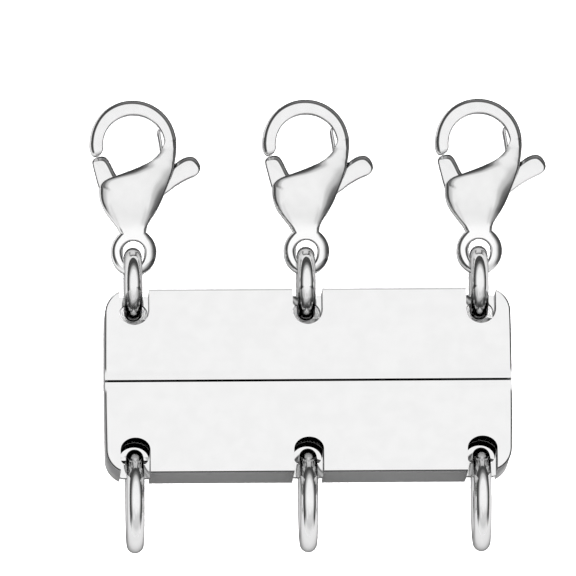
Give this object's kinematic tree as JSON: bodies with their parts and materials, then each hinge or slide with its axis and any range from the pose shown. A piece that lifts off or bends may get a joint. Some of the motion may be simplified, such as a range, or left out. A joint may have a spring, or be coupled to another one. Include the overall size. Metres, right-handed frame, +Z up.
{
  "type": "multi-strand clasp",
  "caption": "Two-part rectangular bar clasp for layered strands, with a jump ring in each notch and lobster claws along one edge.",
  "frame": {"origin": "middle of the outline from above, on the surface that the clasp lies on", "axes": "+Z up, out of the clasp's face; +Y from the bar towards the lobster claws; +X along the bar"},
  "size_m": [0.024, 0.024, 0.0055],
  "materials": {
    "steel": "mirror polished stainless steel",
    "magnet": "nickel plated magnet",
    "ring": "polished stainless steel wire",
    "claw": "polished stainless steel",
    "lever": "polished stainless steel",
    "pin": "steel",
    "spring": "spring steel strip"
  },
  "bodies": {
    "upper_half": {"upper_bar": "steel", "upper_magnet": "magnet", "upper_ring_left": "ring", "claw_left": "claw", "pin_left": "pin", "spring_left": "spring", "upper_ring_middle": "ring", "claw_middle": "claw", "pin_middle": "pin", "spring_middle": "spring", "upper_ring_right": "ring", "claw_right": "claw", "pin_right": "pin", "spring_right": "spring"},
    "lower_half": {"lower_bar": "steel", "lower_magnet": "magnet", "lower_ring_left": "ring", "lower_ring_middle": "ring", "lower_ring_right": "ring"},
    "lever_left": {"lever_left": "lever"},
    "lever_middle": {"lever_middle": "lever"},
    "lever_right": {"lever_right": "lever"}
  },
  "joints": [
    {"name": "halves_apart", "type": "slide", "parent": "upper_half", "child": "lower_half", "axis": [0, -0.9978, 0.0662], "range_m": [0, 0.006]},
    {"name": "lever_left_hinge", "type": "hinge", "parent": "upper_half", "child": "lever_left", "pos_m": [-0.01049, 0.00644, 0.00142], "axis": [0, -0.0902, -0.9959], "range_deg": [0, 20], "stiffness_Nm_per_rad": 0.002, "springref_deg": -17.19},
    {"name": "lever_middle_hinge", "type": "hinge", "parent": "upper_half", "child": "lever_middle", "pos_m": [-0.00139, 0.00644, 0.00142], "axis": [0, -0.0902, -0.9959], "range_deg": [0, 20], "stiffness_Nm_per_rad": 0.002, "springref_deg": -17.19},
    {"name": "lever_right_hinge", "type": "hinge", "parent": "upper_half", "child": "lever_right", "pos_m": [0.00771, 0.00644, 0.00142], "axis": [0, -0.0902, -0.9959], "range_deg": [0, 20], "stiffness_Nm_per_rad": 0.002, "springref_deg": -17.19}
  ]
}
